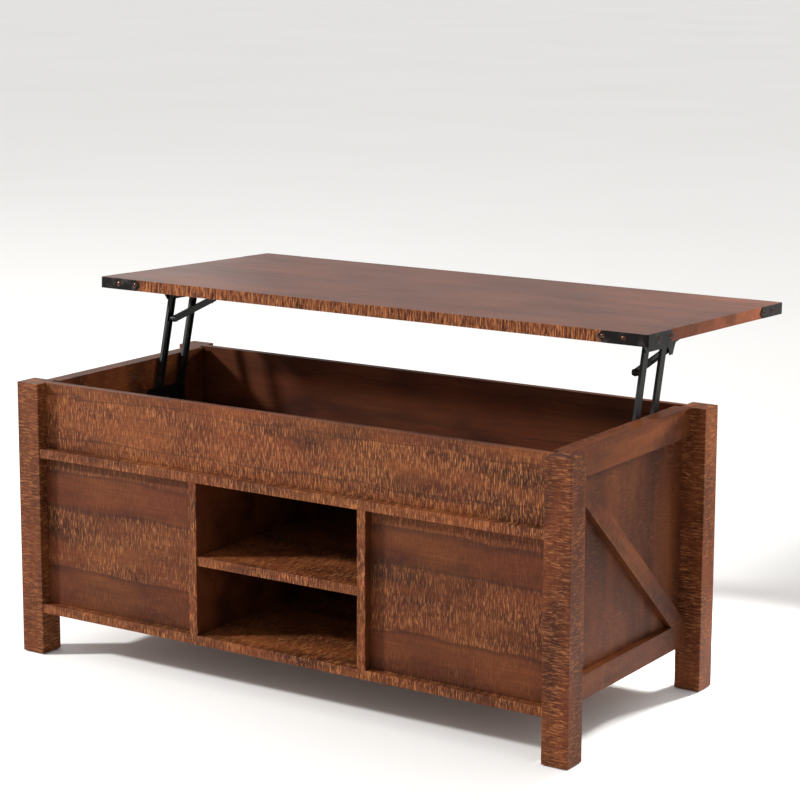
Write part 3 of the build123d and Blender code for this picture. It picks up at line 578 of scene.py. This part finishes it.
class TABLE_OT_lift_mechanism(bpy.types.Operator):
    """Finish the arms, stays, brackets, plates and pivots of the lift mechanism"""

    bl_idname = "table.lift_mechanism"
    bl_label = "Lift mechanism"

    def execute(self, context):
        look = context.scene.table_steel
        coat = powder_coat(
            "satin_black_powder_coat", look.black_coat, look.worn_coat, 0.0012, 0.0, 0.42
        )
        parts = ("front_arm", "rear_arm", "stay", "stay_pin", "lid_bracket", "base_plate")
        parts += ("base_pins", "front_top_pin", "rear_top_pin")
        dress([f"{part}_{hand}" for part in parts for hand in ("left", "right")], coat)
        return {"FINISHED"}


# ---------------------------------------------------------------- screws
slot_reach = 1.1  # length of one recess slot, as a share of the head's radius
slot_depth = 1.2  # height of its cutter, as a share of the head's height
shank_share = 0.45  # radius of the shank, as a share of the head's radius


def screw_seats(name, tilt):
    """Head top, outward axis and overall length of every screw in a CAD node of a tilted body."""
    own = np.array(Matrix.Rotation(tilt, 3, "X").transposed())
    work = bmesh.new()
    work.from_mesh(nodes[name].data)
    bmesh.ops.remove_doubles(work, verts=work.verts, dist=1e-6)
    unseen, seats = set(work.verts), []
    while unseen:
        island, edge = [], [unseen.pop()]
        while edge:
            vertex = edge.pop()
            island.append(vertex.co[:])
            for link in vertex.link_edges:
                other = link.other_vert(vertex)
                if other in unseen:
                    unseen.discard(other)
                    edge.append(other)
        local = np.array(island) @ own.T
        low, high = local.min(0), local.max(0)
        middle = (low + high) / 2
        lane = int((high - low).argmax())
        away = np.linalg.norm(np.delete(local - middle, lane, axis=1), axis=1)
        upper = local[:, lane] > middle[lane]
        way = 1.0 if away[upper].max() > away[~upper].max() else -1.0
        long = high[lane] - low[lane]
        middle[lane] += way * long / 2
        seats.append((middle @ own, own[lane] * way, long))
    work.free()
    return sorted(seats, key=lambda seat: tuple(np.round(seat[0], 4)))


def screw_tree(name, material):
    """Geometry Nodes tree: a domed, cross recessed screw on every point, along its axis."""
    tree = bpy.data.node_groups.new(name, "GeometryNodeTree")
    face = tree.interface
    face.new_socket("Geometry", in_out="INPUT", socket_type="NodeSocketGeometry")
    for label in ("Head radius", "Head height", "Recess width", "Shank radius", "Shank length"):
        face.new_socket(label, in_out="INPUT", socket_type="NodeSocketFloat")
    face.new_socket("Geometry", in_out="OUTPUT", socket_type="NodeSocketGeometry")
    given = add_node(tree, "NodeGroupInput").outputs

    ball = add_node(tree, "GeometryNodeMeshUVSphere", None, {"Segments": 24, "Rings": 14, "Radius": 1.0})
    spot = add_node(tree, "GeometryNodeInputPosition").outputs[0]
    raised = add_node(
        tree, "ShaderNodeVectorMath", {"operation": "MAXIMUM"}, {0: spot, 1: (-1.0, -1.0, 0.0)}
    ).outputs[0]
    head_size = add_node(
        tree, "ShaderNodeCombineXYZ", None,
        {0: given["Head radius"], 1: given["Head radius"], 2: given["Head height"]},
    ).outputs[0]
    squashed = add_node(
        tree, "ShaderNodeVectorMath", {"operation": "MULTIPLY"}, {0: raised, 1: head_size}
    ).outputs[0]
    dome = add_node(
        tree, "GeometryNodeSetPosition", None, {"Geometry": ball.outputs["Mesh"], "Position": squashed}
    ).outputs[0]

    slots = []
    for long_side, short_side, stretch in (
        (0, 1, (slot_reach, 1.0, slot_depth)), (1, 0, (1.0, slot_reach, slot_depth))
    ):
        plain = add_node(
            tree, "ShaderNodeCombineXYZ", None,
            {long_side: given["Head radius"], short_side: given["Recess width"], 2: given["Head height"]},
        ).outputs[0]
        size = add_node(
            tree, "ShaderNodeVectorMath", {"operation": "MULTIPLY"}, {0: plain, 1: stretch}
        ).outputs[0]
        cube = add_node(tree, "GeometryNodeMeshCube", None, {"Size": size}).outputs["Mesh"]
        up = add_node(tree, "ShaderNodeCombineXYZ", None, {2: given["Head height"]}).outputs[0]
        slots.append(
            add_node(tree, "GeometryNodeTransform", None, {"Geometry": cube, "Translation": up}).outputs[0]
        )
    cross = add_node(tree, "GeometryNodeMeshBoolean", {"operation": "UNION", "solver": "EXACT"})
    for slot in slots:
        tree.links.new(slot, cross.inputs["Mesh 2"])
    head = add_node(
        tree, "GeometryNodeMeshBoolean", {"operation": "DIFFERENCE", "solver": "EXACT"},
        {"Mesh 1": dome, "Mesh 2": cross.outputs["Mesh"]},
    ).outputs["Mesh"]

    rod = add_node(
        tree, "GeometryNodeMeshCylinder", None,
        {"Vertices": 16, "Radius": given["Shank radius"], "Depth": given["Shank length"]},
    ).outputs["Mesh"]
    below = add_node(
        tree, "ShaderNodeMath", {"operation": "MULTIPLY"}, {0: given["Shank length"], 1: -0.5}
    ).outputs[0]
    down = add_node(tree, "ShaderNodeCombineXYZ", None, {2: below}).outputs[0]
    shank = add_node(tree, "GeometryNodeTransform", None, {"Geometry": rod, "Translation": down}).outputs[0]
    screw = add_node(tree, "GeometryNodeJoinGeometry")
    for part in (head, shank):
        tree.links.new(part, screw.inputs[0])

    axis = add_node(
        tree, "GeometryNodeInputNamedAttribute", {"data_type": "FLOAT_VECTOR"}, {"Name": "screw_axis"}
    ).outputs["Attribute"]
    stand = add_node(
        tree, "FunctionNodeAlignRotationToVector", {"axis": "Z"}, {"Vector": axis}
    ).outputs[0]
    angle = add_node(
        tree, "FunctionNodeRandomValue", {"data_type": "FLOAT"}, {2: 0.0, 3: math.pi / 2, "Seed": 4}
    ).outputs[1]
    turn = add_node(
        tree, "FunctionNodeAxisAngleToRotation", None, {"Axis": (0.0, 0.0, 1.0), "Angle": angle}
    ).outputs[0]
    rotation = add_node(
        tree, "FunctionNodeRotateRotation", {"rotation_space": "LOCAL"},
        {"Rotation": stand, "Rotate By": turn},
    ).outputs[0]
    placed = add_node(
        tree, "GeometryNodeInstanceOnPoints", None,
        {"Points": given["Geometry"], "Instance": screw.outputs[0], "Rotation": rotation},
    ).outputs[0]
    real = add_node(tree, "GeometryNodeRealizeInstances", None, {0: placed}).outputs[0]
    coloured = add_node(
        tree, "GeometryNodeSetMaterial", None, {"Geometry": real, "Material": material}
    ).outputs[0]
    add_node(tree, "NodeGroupOutput", None, {0: coloured})
    return tree


def make_screws(node_name, body, material, head_radius, head_height, recess_share):
    """Replace a CAD node's screws with domed, cross recessed ones on the same axes."""
    seats = screw_seats(node_name, lid_tilt if body == "lid" else 0.0)
    seat_mesh = bpy.data.meshes.new(f"{node_name}_seats")
    seat_mesh.from_pydata([tuple(top - axis * head_height) for top, axis, _ in seats], [], [])
    axes = seat_mesh.attributes.new("screw_axis", "FLOAT_VECTOR", "POINT")
    axes.data.foreach_set("vector", np.array([axis for _, axis, _ in seats]).ravel())
    holder = bpy.data.objects.new(f"{node_name}_holder", seat_mesh)
    bpy.context.scene.collection.objects.link(holder)
    modifier = holder.modifiers.new("Screws", "NODES")
    modifier.node_group = screw_tree(f"{node_name}_tree", material)
    sizes = {
        "Head radius": head_radius, "Head height": head_height,
        "Recess width": head_radius * 2 * recess_share, "Shank radius": head_radius * shank_share,
        "Shank length": seats[0][2] - head_height,
    }
    for item in modifier.node_group.interface.items_tree:
        if item.in_out == "INPUT" and item.name in sizes:
            modifier[item.identifier] = sizes[item.name]
    evaluated = holder.evaluated_get(bpy.context.evaluated_depsgraph_get())
    mesh = bpy.data.meshes.new_from_object(evaluated)
    bpy.data.objects.remove(holder)
    if not mesh.polygons:
        raise RuntimeError(f"no screws were made for {node_name}")
    piece = bpy.data.objects.new(f"{node_name}_domed", mesh)
    bpy.context.scene.collection.objects.link(piece)
    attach(piece, body)
    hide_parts(node_name)


class TABLE_OT_corner_guards(bpy.types.Operator):
    """Finish the lid's corner guards and make their domed screws"""

    bl_idname = "table.corner_guards"
    bl_label = "Corner guards"

    def execute(self, context):
        look = context.scene.table_steel
        bronze = powder_coat(
            "oxidised_bronze_coat", look.bronze_dark, look.bronze_light, 0.003, 1.0, 0.4
        )
        corners = [f"{end}_{hand}" for end in ("front", "rear") for hand in ("left", "right")]
        dress([f"corner_guard_{corner}" for corner in corners], bronze)
        make_screws(
            "corner_guard_screws", "lid", copper_plate("antique_copper_plate"),
            look.guard_head_radius, look.guard_head_height, look.recess_share,
        )
        return {"FINISHED"}


class TABLE_OT_pan_screws(bpy.types.Operator):
    """Make the pan head screws of the lift mechanism"""

    bl_idname = "table.pan_screws"
    bl_label = "Pan head screws"

    def execute(self, context):
        look = context.scene.table_steel
        zinc = zinc_plate("bright_zinc_plate_screws")
        for node_name, body in (("base_plate_screws", "cabinet"), ("bracket_screws", "lid")):
            make_screws(
                node_name, body, zinc, look.pan_head_radius, look.pan_head_height, look.recess_share
            )
        return {"FINISHED"}


# ---------------------------------------------------------------- small fittings
def moulded_material(name, base, second, cell, roughness, see_through=0.0):
    """Moulded or raw small fitting.

    The eye sees a plain part whose colour drifts a little and whose face is faintly grained.
    """
    material, tree, shader, coordinates = new_material(name)
    drift = stretched_noise(tree, coordinates, cell, detail=3.0)
    bump = add_node(tree, "ShaderNodeBump", None, {"Height": drift, "Strength": 0.2, "Distance": 0.0002})
    tree.links.new(lay_over(tree, srgb(base), srgb(second), drift), shader.inputs["Base Color"])
    tree.links.new(bump.outputs["Normal"], shader.inputs["Normal"])
    shader.inputs["Roughness"].default_value = roughness
    shader.inputs["Transmission Weight"].default_value = see_through
    return material


class TABLE_OT_small_fittings(bpy.types.Operator):
    """Finish the dowels, cams, bolts, pegs, glides and lid buttons"""

    bl_idname = "table.small_fittings"
    bl_label = "Small fittings"

    def execute(self, context):
        zinc = zinc_plate("bright_zinc_plate_fittings")
        dress(["rail_screws", "cam_locks", "cam_bolts", "shelf_pegs"], zinc)
        beech = moulded_material(
            "turned_beech_dowel", "#c6a074", "#ab8156", (0.001, 0.02, 0.02), 0.6
        )
        dress(["frame_dowels", "divider_dowels"], beech)
        nylon = moulded_material(
            "moulded_black_nylon", "#151515", "#222120", (0.0012, 0.0012, 0.0012), 0.5
        )
        dress(["foot_glides"], nylon)
        silicone = moulded_material(
            "clear_silicone_button", "#d9d9d4", "#c6c6c0", (0.002, 0.002, 0.002), 0.25, 0.6
        )
        dress(["lid_bumpers"], silicone)
        return {"FINISHED"}


# ---------------------------------------------------------------- studio
camera_place = (2.142435, -3.267319, 1.221601)
camera_sensor = 36.0
camera_shift = -0.075
key_place, key_size = (-4.2, -3.05, 3.1), 0.5
rim_place, rim_size = (0.66, 0.72, 0.62), 0.15
glow_place, glow_size = (-2.6, 2.2, 1.0), 1.0
rim_cone = math.radians(120)
rim_aim_back, rim_aim_up = 0.65, 0.7  # shares of the side panel's depth and of its top's height
floor_half = 60.0


def add_lamp(name, place, aim, power, size, cone=math.pi, sheen=True):
    """Square soft lamp at a place, aimed at a point, with or without a sheen on the table."""
    lamp = bpy.data.lights.new(name, "AREA")
    lamp.energy = power
    lamp.size = size
    lamp.spread = cone
    holder = bpy.data.objects.new(name, lamp)
    holder.location = place
    holder.rotation_euler = (Vector(place) - Vector(aim)).to_track_quat("Z", "Y").to_euler()
    holder.visible_camera = False
    holder.visible_glossy = sheen
    bpy.context.scene.collection.objects.link(holder)


def floor_material():
    """Painted studio floor: pale, matt and almost even, with faint wide drifts."""
    look = bpy.context.scene.table_studio
    material, tree, shader, coordinates = new_material("pale_studio_floor")
    drift = stretched_noise(tree, coordinates, (1.5, 1.5, 1.5), detail=2.0)
    tone = lay_over(tree, look.floor_tone, look.floor_drift, drift)
    tree.links.new(tone, shader.inputs["Base Color"])
    shader.inputs["Roughness"].default_value = 0.8
    return material


class TABLE_OT_studio(bpy.types.Operator):
    """Lay the floor, light the table and set the camera"""

    bl_idname = "table.studio"
    bl_label = "Studio"

    def execute(self, context):
        scene, look = context.scene, context.scene.table_studio
        corners = [(-floor_half, -floor_half), (floor_half, -floor_half)]
        corners += [(floor_half, floor_half), (-floor_half, floor_half)]
        ground = bpy.data.meshes.new("studio_floor")
        ground.from_pydata([(x, y, 0.0) for x, y in corners], [], [(0, 1, 2, 3)])
        ground.materials.append(floor_material())
        floor = bpy.data.objects.new("studio_floor", ground)
        scene.collection.objects.link(floor)

        world = bpy.data.worlds.new("studio_surround")
        world.use_nodes = True
        world.node_tree.nodes.clear()
        glow = add_node(
            world.node_tree, "ShaderNodeBackground", None,
            {"Color": srgb("#ffffff"), "Strength": look.sky_strength},
        )
        add_node(world.node_tree, "ShaderNodeOutputWorld", None, {"Surface": glow.outputs[0]})
        scene.world = world
        scene.view_settings.view_transform = "Standard"
        middle = (cad_box[0] + cad_box[1]) / 2
        side_low, side_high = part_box("side_panel_right")
        rim_aim_y = side_low[1] * (1 - rim_aim_back) + side_high[1] * rim_aim_back
        rim_aim = (side_high[0], rim_aim_y, side_high[2] * rim_aim_up)
        add_lamp("key_lamp", key_place, middle, look.key_power, key_size)
        add_lamp("rim_lamp", rim_place, rim_aim, look.rim_power, rim_size, rim_cone, False)
        add_lamp("glow_lamp", glow_place, middle, look.glow_power, glow_size)

        a, e, roll = look.camera_azimuth, look.camera_elevation, look.camera_roll
        back = Vector((math.sin(a) * math.cos(e), -math.cos(a) * math.cos(e), math.sin(e)))
        camera_data = bpy.data.cameras.new("camera")
        camera_data.sensor_width = camera_sensor
        camera_data.lens = look.camera_lens
        camera_data.shift_y = camera_shift
        camera = bpy.data.objects.new("camera", camera_data)
        turn = (-back).to_track_quat("-Z", "Y").to_matrix() @ Matrix.Rotation(roll, 3, "Z")
        camera.matrix_world = Matrix.Translation(camera_place) @ turn.to_4x4()
        scene.collection.objects.link(camera)
        scene.camera = camera
        return {"FINISHED"}


# ---------------------------------------------------------------- add-on
steps = (
    TABLE_OT_studio,
    TABLE_OT_long_boards,
    TABLE_OT_posts_and_sides,
    TABLE_OT_lid,
    TABLE_OT_lift_mechanism,
    TABLE_OT_corner_guards,
    TABLE_OT_pan_screws,
    TABLE_OT_small_fittings,
)


class TABLE_PT_sidebar(bpy.types.Panel):
    """Lists the steps that dress the table"""

    bl_idname = "TABLE_PT_sidebar"
    bl_label = "Lift Top Table"
    bl_space_type = "VIEW_3D"
    bl_region_type = "UI"
    bl_category = "Table"

    def draw(self, context):
        for step in steps:
            self.layout.operator(step.bl_idname)


def register():
    """Register the settings, the steps and the panel."""
    for name, group in settings_groups.items():
        bpy.utils.register_class(group)
        setattr(bpy.types.Scene, name, bpy.props.PointerProperty(type=group))
    for item in steps + (TABLE_PT_sidebar,):
        bpy.utils.register_class(item)


def unregister():
    """Undo register."""
    for item in (TABLE_PT_sidebar,) + steps[::-1]:
        bpy.utils.unregister_class(item)
    for name, group in settings_groups.items():
        delattr(bpy.types.Scene, name)
        bpy.utils.unregister_class(group)


def main():
    """Dress the table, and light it."""
    register()
    for step in steps:
        family, action = step.bl_idname.split(".")
        getattr(getattr(bpy.ops, family), action)()


if __name__ == "__main__":
    main()
